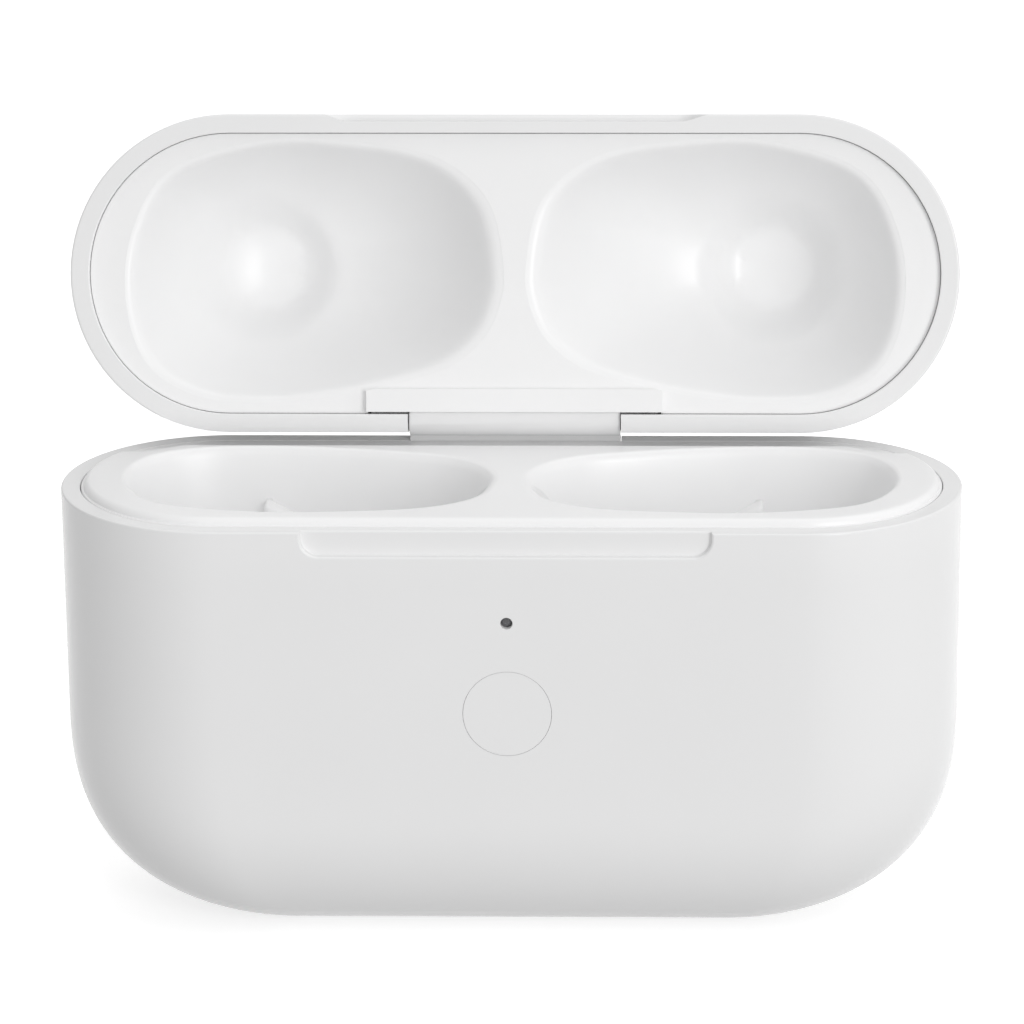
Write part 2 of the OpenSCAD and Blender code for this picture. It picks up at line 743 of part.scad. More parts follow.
module lid_magnet_left() {
    color("silver") opened() mirror([1, 0, 0]) magnet_block(liner_z + liner_t + 0.05);
}

module sensor_magnet() {
    color("silver") opened()
        block(-0.6, 0.6, -inner_y + 0.5, -inner_y + 1.7, liner_z + liner_t + 0.05, liner_z + liner_t + 1.25);
}

body_shell();
body_tray();
main_board();
board_screws();
contact_board();
board_flex();
battery_left();
battery_right();
battery_foam_left();
battery_foam_right();
battery_flex();
cell_cradle_left();
cell_cradle_right();
front_stiffener();
charge_socket();
socket_tongue();
socket_seal();
charge_coil();
coil_ferrite();
contact_barrel_1();
contact_barrel_2();
contact_barrel_3();
contact_barrel_4();
contact_spring_1();
contact_spring_2();
contact_spring_3();
contact_spring_4();
contact_pin_1();
contact_pin_2();
contact_pin_3();
contact_pin_4();
led_chip();
light_pipe();
button_cap();
switch_body();
switch_plunger();
hall_sensor();
latch_magnet_left();
latch_magnet_right();
bud_magnet_left();
bud_magnet_right();
hinge_barrel();
hinge_body_screws();
hinge_spring();
hinge_pin();
hinge_arm();
hinge_lid_screws();
lid_shell();
lid_liner();
lid_magnet_left();
lid_magnet_right();
sensor_magnet();
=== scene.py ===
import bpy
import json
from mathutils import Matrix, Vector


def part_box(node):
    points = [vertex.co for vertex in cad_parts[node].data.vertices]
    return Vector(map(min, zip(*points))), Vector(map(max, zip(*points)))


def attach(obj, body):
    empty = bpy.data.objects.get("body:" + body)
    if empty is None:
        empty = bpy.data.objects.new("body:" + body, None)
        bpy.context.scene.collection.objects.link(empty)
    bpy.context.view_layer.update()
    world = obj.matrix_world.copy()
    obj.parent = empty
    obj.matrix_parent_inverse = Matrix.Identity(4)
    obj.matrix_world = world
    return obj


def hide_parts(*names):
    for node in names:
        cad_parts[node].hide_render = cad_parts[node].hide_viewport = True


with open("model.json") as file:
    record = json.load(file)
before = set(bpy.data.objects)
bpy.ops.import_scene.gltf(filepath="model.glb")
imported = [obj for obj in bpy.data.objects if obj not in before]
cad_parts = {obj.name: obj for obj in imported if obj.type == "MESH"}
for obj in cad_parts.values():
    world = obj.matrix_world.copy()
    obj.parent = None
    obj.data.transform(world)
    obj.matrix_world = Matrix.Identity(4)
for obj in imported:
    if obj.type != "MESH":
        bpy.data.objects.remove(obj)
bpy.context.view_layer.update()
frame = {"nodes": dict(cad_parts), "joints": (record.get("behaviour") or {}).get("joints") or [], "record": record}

import json
import math
import bpy
from mathutils import Matrix, Vector
from mathutils.bvhtree import BVHTree

# ---------------------------------------------------------------- sizes, in millimetres
MM = 0.001


def box_mm(node):
    low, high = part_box(node)
    return [v / MM for v in low], [v / MM for v in high]


HALF_W, HALF_D, BODY_H = box_mm("body_shell")[1]
HINGE = next(j for j in frame["joints"] if j["name"] == "lid_hinge")
AXIS_Y, AXIS_Z = HINGE["pos_m"][1] / MM, HINGE["pos_m"][2] / MM
OPEN = math.radians(HINGE["range_deg"][1])
PLATEAU_Z = box_mm("body_tray")[1][2]

WALL = 1.28
SEAM = 0.1
DRAFT = 0.01
LID_H = 15.6
CORNER_X, CORNER_X_H, FULL_X = 16.0, 14.0, 2.5
CORNER_Y, CORNER_Y_H, FULL_Y = 8.0, 9.0, 2.15
INNER_Y = HALF_D - WALL
LID_RIM = BODY_H + SEAM
LID_TOP = BODY_H + LID_H
LINER_Z = LID_RIM + 0.6
LINER_T = 1.0
DECK_Z = BODY_H - 1.6
TRAY_GAP = 0.05
BARREL_HALF = 7.2
STEM_X, STEM_Y, STEM_R, STEM_FLOOR = 4.75, -0.8, 3.3, 10.6
HOLLOW_X, HOLLOW_Y, HOLLOW_R, HOLLOW_DEPTH = 17.6, -0.225, 5.2, 1.9
REST_X, REST_W, REST_DROP, REST_OUT = 17.0, 4.4, 3.4, 2.0

# Outline of an earbud pocket: inner end 0 to outer end 1, front -1 to rear 1
EGG = [
    (0, 0), (0.028, -0.44), (0.1, -0.71), (0.21, -0.88), (0.38, -0.965), (0.62, -0.985), (0.88, -0.76),
    (0.985, -0.28), (1, 0.27), (0.94, 0.73), (0.8, 0.96), (0.62, 1), (0.45, 0.95), (0.28, 0.85),
    (0.14, 0.72), (0.05, 0.5), (0.01, 0.25),
]
EGG_FOCUS = (0.6, 0.0)


# ---------------------------------------------------------------- meshes
def new_mesh(name, points, faces):
    mesh = bpy.data.meshes.new(name)
    mesh.from_pydata([tuple(c * MM for c in p) for p in points], [], faces)
    mesh.validate()
    mesh.update()
    obj = bpy.data.objects.new(name, mesh)
    bpy.context.scene.collection.objects.link(obj)
    return obj


def smooth(mesh, angle=34.0):
    mesh.polygons.foreach_set("use_smooth", [True] * len(mesh.polygons))
    mesh.set_sharp_from_angle(angle=math.radians(angle))
    mesh.update()


def loft(name, rings, angle=34.0):
    """A closed solid through rings of points that all turn the same way, capped at both ends."""
    n = len(rings[0])
    points = [p for ring in rings for p in ring]
    faces = []
    for k in range(len(rings) - 1):
        for i in range(n):
            j = (i + 1) % n
            faces.append((k * n + i, (k + 1) * n + i, (k + 1) * n + j, k * n + j))
    faces.append(tuple(range(n)))
    faces.append(tuple((len(rings) - 1) * n + i for i in reversed(range(n))))
    obj = new_mesh(name, points, faces)
    turn_outward(obj.data)
    smooth(obj.data, angle)
    return obj


def turn_outward(mesh):
    """Turns every face over if the closed mesh has a negative volume."""
    mesh.calc_loop_triangles()
    total = 0.0
    for t in mesh.loop_triangles:
        a, b, c = (mesh.vertices[i].co for i in t.vertices)
        total += a.dot(b.cross(c))
    if total < 0:
        mesh.flip_normals()
        mesh.update()


def rounded(radius, steps=5):
    """Pairs (in, up) along a quarter round, from (0, 0) on the wall to (radius, radius) on the top."""
    out = []
    for k in range(steps + 1):
        a = math.pi / 2 * k / steps
        out.append((radius * (1 - math.cos(a)), radius * math.sin(a)))
    return out


def source_lookup(obj):
    mesh = obj.data
    mesh.calc_loop_triangles()
    tris = [tuple(t.vertices) for t in mesh.loop_triangles]
    loops = [tuple(t.loops) for t in mesh.loop_triangles]
    normals = [Vector(c.vector) for c in mesh.corner_normals]
    points = [v.co.copy() for v in mesh.vertices]
    return BVHTree.FromPolygons(points, tris), tris, loops, normals, points


def weights_in(p, a, b, c):
    v0, v1, v2 = b - a, c - a, p - a
    d00, d01, d11 = v0.dot(v0), v0.dot(v1), v1.dot(v1)
    d20, d21 = v2.dot(v0), v2.dot(v1)
    det = d00 * d11 - d01 * d01
    if abs(det) < 1e-30:
        return 1 / 3, 1 / 3, 1 / 3
    v = (d11 * d20 - d01 * d21) / det
    w = (d00 * d21 - d01 * d20) / det
    v, w = max(0.0, min(1.0, v)), max(0.0, min(1.0, w))
    return max(0.0, 1 - v - w), v, w


def carve(base, steps):
    """Joins ("UNION") and cuts ("DIFFERENCE") closed solids exactly, one after the other.

    Every corner of the result then takes the smooth normal of the surface that it came from, so that
    an opening in a curved wall leaves the wall's shading as it was.
    """
    sources = [(base, 1)] + [(tool, -1 if kind == "DIFFERENCE" else 1) for kind, tool in steps]
    lookups = [source_lookup(s) for s, _ in sources]
    marker = bpy.data.materials.new("carve_marker")
    for k, (obj, _) in enumerate(sources):
        obj.data.materials.clear()
        for _ in sources:
            obj.data.materials.append(marker)
        obj.data.polygons.foreach_set("material_index", [k] * len(obj.data.polygons))
    for kind, tool in steps:
        mod = base.modifiers.new("cut", "BOOLEAN")
        mod.operation, mod.object, mod.solver, mod.material_mode = kind, tool, "EXACT", "INDEX"
    graph = bpy.context.evaluated_depsgraph_get()
    mesh = bpy.data.meshes.new_from_object(base.evaluated_get(graph), depsgraph=graph)
    mesh.name = base.name
    normals = [Vector((0, 0, 1))] * len(mesh.loops)
    for poly in mesh.polygons:
        tree, tris, loops, source_normals, points = lookups[poly.material_index]
        sign = sources[poly.material_index][1]
        for loop in poly.loop_indices:
            co = mesh.vertices[mesh.loops[loop].vertex_index].co
            probe = co.lerp(poly.center, 0.03)
            _, _, index, _ = tree.find_nearest(probe)
            tri = tris[index]
            w = weights_in(probe, *(points[i] for i in tri))
            n = sum((source_normals[l] * f for l, f in zip(loops[index], w)), Vector())
            n = n.normalized() * sign
            normals[loop] = n if n.dot(poly.normal) > 0.2 else poly.normal.copy()
    mesh.materials.clear()
    mesh.polygons.foreach_set("material_index", [0] * len(mesh.polygons))
    mesh.polygons.foreach_set("use_smooth", [True] * len(mesh.polygons))
    mesh.normals_split_custom_set([tuple(n) for n in normals])
    base.modifiers.clear()
    base.data = mesh
    for _, tool in steps:
        bpy.data.objects.remove(tool)
    bpy.data.materials.remove(marker)
    return base


# ---------------------------------------------------------------- shared shapes
def corner(z, height, full):
    if z >= height:
        return 0.0
    return 1 - (1 - (1 - max(z, 0.0) / height) ** full) ** (1 / full)


def shell_w(z, off, height):
    return HALF_W - off - (CORNER_X - off) * corner(z - off, CORNER_X_H - off, FULL_X) - DRAFT * (height - z)


def shell_d(z, off, height):
    return HALF_D - off - (CORNER_Y - off) * corner(z - off, CORNER_Y_H - off, FULL_Y) - DRAFT * (height - z)


def stadium(a, b, z, straight=26, arc=44):
    """Ring of a shape with straight sides and half-circle ends, half as wide as a and half as deep as b."""
    s = a - b
    points = []
    for side in (1, -1):
        for i in range(arc):
            t = math.radians(-90 + 180 * i / arc)
            points.append((side * (s + b * math.cos(t)), side * b * math.sin(t), z))
        for i in range(straight):
            points.append((side * (s - 2 * s * i / straight), side * b, z))
    return points


def cup_profile(off, height, rings=30):
    """Heights of a shell's rings, closest together where the wall curves into the bottom."""
    top = CORNER_X_H - off
    return [off + top * (k / rings) ** 2 for k in range(rings + 1)]


def cup_solid(name, height, outer_round=0.14, inner_round=0.07):
    """A shell with a round-edged flat rim at z = height and its closed end at z = 0."""
    rings = []
    a, b = shell_w(0, 0, height), shell_d(0, 0, height)
    rings.append(stadium(a - 0.5, b - 0.5, 0))
    for z in cup_profile(0, height):
        rings.append(stadium(shell_w(z, 0, height), shell_d(z, 0, height), z))
    for z in (18.0, 22.0, 26.0):
        if CORNER_X_H + 1 < z < height - 1:
            rings.append(stadium(shell_w(z, 0, height), shell_d(z, 0, height), z))
    for inward, up in rounded(outer_round):
        z = height - outer_round + up
        rings.append(stadium(shell_w(z, 0, height) - inward, shell_d(z, 0, height) - inward, z))
    for inset in (outer_round + 0.05, WALL - inner_round - 0.05):
        rings.append(stadium(HALF_W - inset, HALF_D - inset, height))
    for inward, up in reversed(rounded(inner_round)):
        z = height - inner_round + up
        rings.append(stadium(HALF_W - WALL + inward, HALF_D - WALL + inward, z))
    for z in reversed(cup_profile(WALL, height)):
        if z < height - inner_round - 0.5:
            rings.append(stadium(shell_w(z, WALL, height), shell_d(z, WALL, height), z))
    a, b = shell_w(WALL, WALL, height), shell_d(WALL, WALL, height)
    rings.append(stadium(a - 0.5, b - 0.5, WALL))
    return loft(name, rings, 50)


def mirrored_up(obj, top):
    """Turns a shape drawn with its closed end at 0 into one with its closed end at z = top."""
    obj.data.transform(Matrix.Translation((0, 0, top * MM)) @ Matrix.Scale(-1, 4, (0, 0, 1)))
    obj.data.flip_normals()
    smooth(obj.data, 50)
    return obj


def plug(name, outline, levels, place):
    """A solid from outline(grow), which gives 2-D points, at levels of (depth, grow).

    place turns (u, v, depth) into a point.
    """
    rings = []
    for depth, grow in levels:
        rings.append([place(u, v, depth) for u, v in outline(grow)])
    return loft(name, rings, 50)


def circle_outline(radius, count=64):
    def points(grow):
        r = radius + grow
        turns = [2 * math.pi * i / count for i in range(count)]
        return [(r * math.cos(t), r * math.sin(t)) for t in turns]
    return points


def stadium_outline(a, b, arc=24):
    def points(grow):
        return [(p[0], p[1]) for p in stadium(a + grow, b + grow, 0, 6, arc)]
    return points


def notch_outline(half, height, radius, rise=1.0, steps=10):
    """Open-topped slot: straight sides, round lower corners, its floor at -height."""
    def points(grow):
        w, h, r = half + grow, height + grow, radius + grow
        out = [(w, rise)]
        for i in range(steps + 1):
            a = math.pi / 2 * i / steps
            out.append((w - r + r * math.cos(a), -h + r - r * math.sin(a)))
        for i in range(1, 24):
            out.append((w - r - 2 * (w - r) * i / 24, -h))
        for i in range(steps + 1):
            a = math.pi / 2 * i / steps
            out.append((-w + r - r * math.sin(a), -h + r - r * math.cos(a)))
        out.append((-w, rise))
        for i in range(1, 24):
            out.append((-w + 2 * w * i / 24, rise))
        return out
    return points


def mouth(depth, radius):
    """Levels of a cutter from its floor at -depth to past the face at 0, with a round mouth."""
    return [(-depth, 0)] + [(-radius + up, inward) for inward, up in rounded(radius)] + [(1.0, radius)]


def block_solid(name, x0, x1, y0, y1, z0, z1):
    rings = [[(x0, y0, z), (x1, y0, z), (x1, y1, z), (x0, y1, z)] for z in (z0, z1)]
    return loft(name, rings, 20)


def swept_x(name, profile, x0, x1, count=24, shift=None):
    """A solid with a (y, z) profile swept along x. shift(x) moves the profile along y."""
    rings = []
    for k in range(count + 1):
        x = x0 + (x1 - x0) * k / count
        dy = shift(x) if shift else 0.0
        rings.append([(x, y + dy, z) for y, z in profile])
    return loft(name, rings, 25)


def blend_point(a, b, c, d, t):
    return 0.5 * (2 * b + (c - a) * t + (2 * a - 5 * b + 4 * c - d) * t * t + (3 * b - a - 3 * c + d) * t ** 3)


def egg_line(steps=8):
    out = []
    n = len(EGG)
    for i in range(n):
        for k in range(steps):
            out.append(tuple(
                blend_point(EGG[i - 1][c], EGG[i][c], EGG[(i + 1) % n][c], EGG[(i + 2) % n][c], k / steps)
                for c in (0, 1)))
    return out


def egg_ring(x0, x1, y0, y1, shrink, z, side):
    ring = []
    for u, v in egg_line():
        u = EGG_FOCUS[0] + shrink * (u - EGG_FOCUS[0])
        v = EGG_FOCUS[1] + shrink * (v - EGG_FOCUS[1])
        ring.append((side * (x0 + (x1 - x0) * u), (y0 + y1) / 2 + (y1 - y0) / 2 * v, z))
    return ring


def bowl_outside(name, side, x0, x1, y0, y1, top, depth, down, grow, rings=22):
    """The outer skin of an earbud pocket: an egg-shaped bowl, grow larger than the pocket."""
    x0, x1, y0, y1, deep = x0 - grow, x1 + grow, y0 - grow, y1 + grow, depth + grow
    levels = [egg_ring(x0, x1, y0, y1, 0.2, top + down * deep, side)]
    for k in range(rings + 1):
        a = math.pi / 2 * (1 - k / rings)
        levels.append(egg_ring(x0, x1, y0, y1, 0.42 + 0.58 * math.cos(a),
                               top + down * deep * math.sin(a), side))
    return loft(name, levels, 50)


def dent(x, y):
    """Extra depth of the round hollow in the floor of a lid pocket."""
    t = (math.hypot(abs(x) - HOLLOW_X, y - HOLLOW_Y) / HOLLOW_R - 0.5) / 0.5
    t = max(0.0, min(1.0, t))
    return HOLLOW_DEPTH * (1 - t * t * (3 - 2 * t))


def bowl(name, side, x0, x1, y0, y1, top, depth, down, steep, soft, extra=None, rings=44):
    """An egg-shaped bowl cutter whose soft mouth is at z = top. down is -1 in the tray and 1 in the lid."""
    levels = []
    for k in range(rings + 1):
        r = 0.06 + 0.97 * (k / rings) ** 0.75
        raw = depth * (1 - (r / 0.975) ** steep)
        deep = 0.5 * (raw + math.sqrt(raw * raw + soft * soft)) - 0.06 * soft
        ring = egg_ring(x0, x1, y0, y1, r, 0.0, side)
        levels.append([(x, y, top + down * (deep + (extra(x, y) if extra else 0.0))) for x, y, _ in ring])
    levels.append([(x, y, top - down * 1.0) for x, y, _ in levels[-1]])
    return loft(name, levels, 50)


def opened(obj):
    """Turns a solid from its closed place about the hinge to the open place."""
    pivot = Vector((0, AXIS_Y * MM, AXIS_Z * MM))
    turn = Matrix.Rotation(-OPEN, 4, "X")
    obj.data.transform(Matrix.Translation(pivot) @ turn @ Matrix.Translation(-pivot))
    obj.data.update()
    return obj


def front(u, v, depth):
    """Places a cutter on the front wall: depth grows outwards from the face."""
    return (u, -HALF_D - depth, v)


# ---------------------------------------------------------------- materials
def material(name):
    mat = bpy.data.materials.new(name)
    mat.use_nodes = True
    nodes = mat.node_tree.nodes
    nodes.clear()
    out = nodes.new("ShaderNodeOutputMaterial")
    bsdf = nodes.new("ShaderNodeBsdfPrincipled")
    mat.node_tree.links.new(bsdf.outputs["BSDF"], out.inputs["Surface"])
    return mat, nodes, mat.node_tree.links, bsdf


def coords(nodes):
    return nodes.new("ShaderNodeTexCoord").outputs["Object"]


def noise(nodes, links, vector, scale, detail=4.0, rough=0.5):
    n = nodes.new("ShaderNodeTexNoise")
    n.inputs["Scale"].default_value = scale
    n.inputs["Detail"].default_value = detail
    n.inputs["Roughness"].default_value = rough
    links.new(vector, n.inputs["Vector"])
    return n.outputs["Fac"]


def remap(nodes, links, value, low, high, start=0.3, end=0.7):
    m = nodes.new("ShaderNodeMapRange")
    m.inputs["From Min"].default_value = start
    m.inputs["From Max"].default_value = end
    m.inputs["To Min"].default_value = low
    m.inputs["To Max"].default_value = high
    links.new(value, m.inputs["Value"])
    return m.outputs["Result"]


def tint(nodes, links, value, first, second, start=0.3, end=0.7):
    r = nodes.new("ShaderNodeValToRGB")
    r.color_ramp.elements[0].position = start
    r.color_ramp.elements[0].color = (*first, 1)
    r.color_ramp.elements[1].position = end
    r.color_ramp.elements[1].color = (*second, 1)
    links.new(value, r.inputs["Fac"])
    return r.outputs["Color"]


def bump(nodes, links, height, strength, distance):
    b = nodes.new("ShaderNodeBump")
    b.inputs["Strength"].default_value = strength
    b.inputs["Distance"].default_value = distance
    links.new(height, b.inputs["Height"])
    return b.outputs["Normal"]


def moulded_white(name, shade, roughness):
    """Polished white plastic: faint clouding in the colour, uneven polish and a very fine ripple."""
    mat, nodes, links, bsdf = material(name)
    at = coords(nodes)
    cloud = noise(nodes, links, at, 90, 3, 0.55)
    first = (shade * 0.994, shade * 0.994, shade * 0.996)
    second = (shade * 1.006, shade * 1.006, shade * 1.008)
    links.new(tint(nodes, links, cloud, first, second), bsdf.inputs["Base Color"])
    smear = noise(nodes, links, at, 260, 5, 0.6)
    links.new(remap(nodes, links, smear, roughness - 0.035, roughness + 0.045), bsdf.inputs["Roughness"])
    ripple = noise(nodes, links, at, 1500, 2, 0.4)
    links.new(bump(nodes, links, ripple, 0.06, 0.00003), bsdf.inputs["Normal"])
    bsdf.inputs["IOR"].default_value = 1.5
    return mat


def brushed_metal(name, first, second, roughness, scale=(900, 60, 900)):
    mat, nodes, links, bsdf = material(name)
    mapping = nodes.new("ShaderNodeMapping")
    mapping.inputs["Scale"].default_value = scale
    links.new(coords(nodes), mapping.inputs["Vector"])
    grain = noise(nodes, links, mapping.outputs["Vector"], 3.0, 6, 0.65)
    links.new(tint(nodes, links, grain, first, second), bsdf.inputs["Base Color"])
    links.new(remap(nodes, links, grain, roughness - 0.08, roughness + 0.1), bsdf.inputs["Roughness"])
    links.new(bump(nodes, links, grain, 0.15, 0.00002), bsdf.inputs["Normal"])
    bsdf.inputs["Metallic"].default_value = 1.0
    return mat


def speckled(name, first, second, roughness, scale, depth, metal=0.0):
    """Matt solid with a fine grain, for rubber, foam, ferrite and moulded black parts."""
    mat, nodes, links, bsdf = material(name)
    at = coords(nodes)
    grain = noise(nodes, links, at, scale, 5, 0.6)
    cell = nodes.new("ShaderNodeTexVoronoi")
    cell.inputs["Scale"].default_value = scale * 1.7
    links.new(at, cell.inputs["Vector"])
    links.new(tint(nodes, links, grain, first, second), bsdf.inputs["Base Color"])
    links.new(remap(nodes, links, grain, roughness - 0.08, roughness + 0.08), bsdf.inputs["Roughness"])
    links.new(bump(nodes, links, cell.outputs["Distance"], 0.4, depth), bsdf.inputs["Normal"])
    bsdf.inputs["Metallic"].default_value = metal
    return mat


def circuit_board(name):
    mat, nodes, links, bsdf = material(name)
    at = coords(nodes)
    weave = nodes.new("ShaderNodeTexWave")
    weave.inputs["Scale"].default_value = 900
    weave.inputs["Distortion"].default_value = 1.5
    links.new(at, weave.inputs["Vector"])
    tracks = nodes.new("ShaderNodeTexBrick")
    tracks.inputs["Scale"].default_value = 1400
    tracks.inputs["Color1"].default_value = (0.02, 0.16, 0.07, 1)
    tracks.inputs["Color2"].default_value = (0.03, 0.20, 0.09, 1)
    tracks.inputs["Mortar"].default_value = (0.06, 0.30, 0.13, 1)
    tracks.inputs["Mortar Size"].default_value = 0.03
    links.new(at, tracks.inputs["Vector"])
    links.new(tracks.outputs["Color"], bsdf.inputs["Base Color"])
    links.new(remap(nodes, links, weave.outputs["Fac"], 0.3, 0.42, 0, 1), bsdf.inputs["Roughness"])
    links.new(bump(nodes, links, tracks.outputs["Fac"], 0.3, 0.00003), bsdf.inputs["Normal"])
    bsdf.inputs["Coat Weight"].default_value = 0.3
    return mat


def coil_winding(name):
    """Enamelled wire wound in rings about the coil's axis."""
    mat, nodes, links, bsdf = material(name)
    low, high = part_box("charge_coil")
    middle = (low + high) / 2
    mapping = nodes.new("ShaderNodeMapping")
    mapping.inputs["Location"].default_value = (-middle.x, -middle.y, -middle.z)
    links.new(coords(nodes), mapping.inputs["Vector"])
    rings = nodes.new("ShaderNodeTexWave")
    rings.wave_type = "RINGS"
    rings.rings_direction = "Y"
    rings.inputs["Scale"].default_value = 420
    links.new(mapping.outputs["Vector"], rings.inputs["Vector"])
    links.new(tint(nodes, links, rings.outputs["Fac"], (0.24, 0.09, 0.04), (0.72, 0.36, 0.19), 0.05, 0.6),
              bsdf.inputs["Base Color"])
    links.new(remap(nodes, links, rings.outputs["Fac"], 0.5, 0.28, 0, 1), bsdf.inputs["Roughness"])
    links.new(bump(nodes, links, rings.outputs["Fac"], 0.7, 0.00006), bsdf.inputs["Normal"])
    bsdf.inputs["Metallic"].default_value = 0.8
    return mat


def foil_wrap(name):
    mat, nodes, links, bsdf = material(name)
    at = coords(nodes)
    crinkle = noise(nodes, links, at, 350, 6, 0.7)
    links.new(tint(nodes, links, crinkle, (0.17, 0.175, 0.19), (0.33, 0.335, 0.35)), bsdf.inputs["Base Color"])
    links.new(remap(nodes, links, crinkle, 0.24, 0.42), bsdf.inputs["Roughness"])
    links.new(bump(nodes, links, crinkle, 0.5, 0.00012), bsdf.inputs["Normal"])
    bsdf.inputs["Metallic"].default_value = 0.75
    return mat


def flex_film(name):
    mat, nodes, links, bsdf = material(name)
    at = coords(nodes)
    lines = nodes.new("ShaderNodeTexWave")
    lines.inputs["Scale"].default_value = 700
    links.new(at, lines.inputs["Vector"])
    links.new(tint(nodes, links, lines.outputs["Fac"], (0.55, 0.24, 0.03), (0.80, 0.46, 0.12), 0.2, 0.8),
              bsdf.inputs["Base Color"])
    links.new(remap(nodes, links, noise(nodes, links, at, 500), 0.25, 0.38), bsdf.inputs["Roughness"])
    bsdf.inputs["Coat Weight"].default_value = 0.4
    return mat


def light_guide(name):
    mat, nodes, links, bsdf = material(name)
    at = coords(nodes)
    haze = noise(nodes, links, at, 1800, 4, 0.6)
    links.new(tint(nodes, links, haze, (0.10, 0.10, 0.105), (0.17, 0.17, 0.18)), bsdf.inputs["Base Color"])
    links.new(remap(nodes, links, haze, 0.2, 0.34), bsdf.inputs["Roughness"])
    links.new(bump(nodes, links, haze, 0.2, 0.00001), bsdf.inputs["Normal"])
    bsdf.inputs["Transmission Weight"].default_value = 0.15
    return mat


def slot_materials():
    return {
        "shell_white": moulded_white("polished_white", 0.88, 0.2),
        "inner_white": moulded_white("satin_white", 0.93, 0.325),
        "light_guide": light_guide("smoked_guide"),
        "board_green": circuit_board("solder_mask"),
        "flex_amber": flex_film("flex_film"),
        "cell_wrap": foil_wrap("laminated_foil"),
        "foam_black": speckled("open_foam", (0.02, 0.02, 0.02), (0.07, 0.07, 0.07), 0.9, 1600, 0.0002),
        "plated_steel": brushed_metal("plated_steel", (0.55, 0.55, 0.56), (0.78, 0.78, 0.79), 0.3),
        "gold_contact": brushed_metal("gold_plate", (0.72, 0.48, 0.16), (0.93, 0.70, 0.32), 0.2, (700, 700, 120)),
        "black_plastic": speckled("moulded_black", (0.03, 0.03, 0.033), (0.06, 0.06, 0.064), 0.45, 1200, 0.00003),
        "seal_rubber": speckled("silicone", (0.03, 0.03, 0.03), (0.055, 0.055, 0.055), 0.62, 900, 0.00003),
        "coil_copper": coil_winding("wound_copper"),
        "ferrite_grey": speckled("ferrite", (0.07, 0.07, 0.075), (0.16, 0.16, 0.165), 0.6, 2200, 0.00004, 0.2),
        "magnet_nickel": brushed_metal("nickel", (0.62, 0.62, 0.61), (0.80, 0.79, 0.78), 0.22, (500, 500, 500)),
    }


MATERIALS = slot_materials()


def finish_piece(obj, body, slot, *nodes):
    obj.data.materials.clear()
    obj.data.materials.append(MATERIALS[slot])
    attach(obj, body)
    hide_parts(*nodes)
    return obj


def paint_cad():
    """Every CAD node that stays gets the procedural material of its slot."""
    for sub in frame["record"]["subparts"]:
        obj = frame["nodes"][sub["node"]]
        if not obj.material_slots:
            obj.data.materials.append(MATERIALS[sub["material_slot"]])
        for s in obj.material_slots:
            s.material = MATERIALS[sub["material_slot"]]


# ---------------------------------------------------------------- the body
NOTCH_HALF, NOTCH_H, NOTCH_D, NOTCH_R = 13.55, 1.7, 0.5, 1.2
LED_R, LED_Z = 0.4, 23.3
BUTTON_LOW, BUTTON_HIGH = box_mm("button_cap")
BUTTON_R, BUTTON_Z = 2.94, (BUTTON_LOW[2] + BUTTON_HIGH[2]) / 2
BUTTON_GAP = 0.02


def rim_edge(name, y, z, radius, half):
    """Cutter that rounds a straight edge along x, at (y, z), where a face meets the rim."""
    profile = [(y - 0.3, z + 0.3), (y - 0.3, z - radius)]
    for inward, up in rounded(radius, 6):
        profile.append((y + inward, z - radius + up))
    profile.append((y + radius, z + 0.3))
    return swept_x(name, profile, -half, half)


def make_body_shell():
    shell = cup_solid("case_shell", BODY_H)
    face = DRAFT * (BODY_H - BUTTON_Z)
    steps = []
    foot, brow = 0.12, 0.14
    levels = [(-NOTCH_D, -0.14)]
    levels += [(-NOTCH_D + foot - up, -foot + (foot - inward)) for inward, up in reversed(rounded(foot))]
    levels += [(-brow - 0.02 + up, inward) for inward, up in rounded(brow)] + [(1.0, brow)]
    notch = plug("notch", notch_outline(NOTCH_HALF, NOTCH_H, NOTCH_R), levels,
                 lambda u, v, d: front(u, BODY_H + v, d))
    steps.append(("DIFFERENCE", notch))
    steps.append(("DIFFERENCE", rim_edge("notch_edge", -HALF_D + NOTCH_D, BODY_H, 0.16, NOTCH_HALF - 0.02)))
    led_face = DRAFT * (BODY_H - LED_Z)
    steps.append(("DIFFERENCE", plug("led_hole", circle_outline(LED_R, 40),
                                     [(d - led_face, g) for d, g in mouth(2.0, 0.05)],
                                     lambda u, v, d: front(u, LED_Z + v, d))))
    steps.append(("DIFFERENCE", plug("button_hole", circle_outline(BUTTON_R + BUTTON_GAP, 96),
                                     [(d - face, g) for d, g in mouth(2.0, 0.02)],
                                     lambda u, v, d: front(u, BUTTON_Z + v, d))))
    steps.append(("DIFFERENCE", plug("port_slot", stadium_outline(4.65, 1.81), mouth(2.2, 0.16),
                                     lambda u, v, d: (u, v, -d))))
    half = BARREL_HALF + TRAY_GAP
    steps.append(("DIFFERENCE", block_solid("hinge_slot", -half, half, INNER_Y - 1, HALF_D + 1,
                                            BODY_H - 3.1, BODY_H + 1)))
    carve(shell, steps)
    return finish_piece(shell, "case_body", "shell_white", "body_shell")


